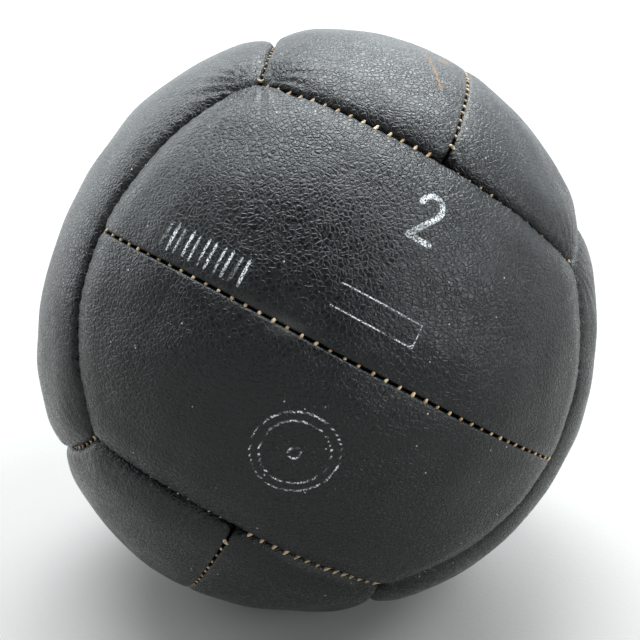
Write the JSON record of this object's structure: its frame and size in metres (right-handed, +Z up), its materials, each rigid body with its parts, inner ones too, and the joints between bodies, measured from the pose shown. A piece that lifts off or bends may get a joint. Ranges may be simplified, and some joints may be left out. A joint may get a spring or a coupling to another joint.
{
  "type": "medicine ball",
  "caption": "Stuffed leather medicine ball, hand-sewn from half-face panels with turned-in seams, lying slightly flattened on the floor.",
  "frame": {"origin": "centre of the flattened patch on which the ball rests, at floor level, under the ball's centre", "axes": "+Z up, through the ball's centre; the numbered front face looks towards -Y, tipped up by 14 degrees; +X to the right of that face's viewer"},
  "size_m": [0.25, 0.25, 0.2488],
  "materials": {
    "leather": "grained black leather, worn to a soft gloss",
    "lining": "plain woven cotton",
    "thread": "waxed linen thread",
    "hair": "packed animal hair"
  },
  "bodies": {
    "root": {"panel_front_top": "leather", "panel_front_bottom": "leather", "panel_back_top": "leather", "panel_back_bottom": "leather", "panel_top_right": "leather", "panel_top_left": "leather", "panel_bottom_right": "leather", "panel_bottom_left": "leather", "panel_right_front": "leather", "panel_right_back": "leather", "panel_left_front": "leather", "panel_left_back": "leather", "lining_front_top": "lining", "lining_front_bottom": "lining", "lining_back_top": "lining", "lining_back_bottom": "lining", "lining_top_right": "lining", "lining_top_left": "lining", "lining_bottom_right": "lining", "lining_bottom_left": "lining", "lining_right_front": "lining", "lining_right_back": "lining", "lining_left_front": "lining", "lining_left_back": "lining", "thread_front_top": "thread", "thread_front_bottom": "thread", "thread_back_top": "thread", "thread_back_bottom": "thread", "thread_top_right": "thread", "thread_top_left": "thread", "thread_bottom_right": "thread", "thread_bottom_left": "thread", "thread_right_front": "thread", "thread_right_back": "thread", "thread_left_front": "thread", "thread_left_back": "thread", "thread_front_middle": "thread", "thread_back_middle": "thread", "thread_top_middle": "thread", "thread_bottom_middle": "thread", "thread_right_middle": "thread", "thread_left_middle": "thread", "hair_stuffing": "hair"}
  },
  "joints": []
}
